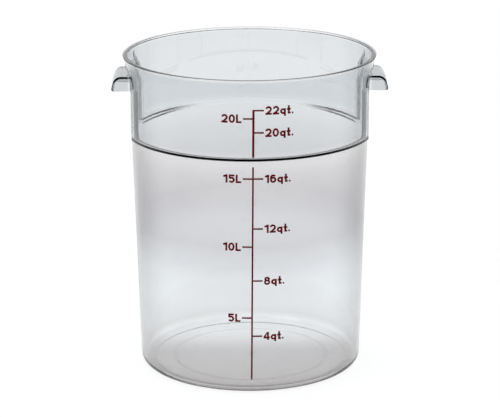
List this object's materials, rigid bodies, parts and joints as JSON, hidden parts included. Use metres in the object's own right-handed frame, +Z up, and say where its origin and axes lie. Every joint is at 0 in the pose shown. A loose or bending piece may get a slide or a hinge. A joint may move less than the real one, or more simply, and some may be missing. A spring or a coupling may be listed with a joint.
{
  "type": "dough proofing container",
  "caption": "Round clear plastic dough tub with a stepped collar, a beaded open mouth, two moulded side grips and a printed litre and quart scale",
  "frame": {"origin": "centre of the face that the container stands on", "axes": "+Z up out of the mouth, -Y out of the printed scale, +X and -X out of the two grips"},
  "size_m": [0.331, 0.3034, 0.384],
  "materials": {
    "clear_plastic": "clear injection-moulded polycarbonate, glossy, with a very faint blue-grey tint",
    "scale_ink": "dark red pad-printed ink film, satin"
  },
  "bodies": {
    "root": {"container": "clear_plastic", "scale_line_upper": "scale_ink", "scale_line_lower": "scale_ink", "scale_label_22_quart": "scale_ink", "scale_label_20_litre": "scale_ink", "scale_label_20_quart": "scale_ink", "scale_label_16_quart": "scale_ink", "scale_label_15_litre": "scale_ink", "scale_label_12_quart": "scale_ink", "scale_label_10_litre": "scale_ink", "scale_label_8_quart": "scale_ink", "scale_label_5_litre": "scale_ink", "scale_label_4_quart": "scale_ink"}
  },
  "joints": []
}
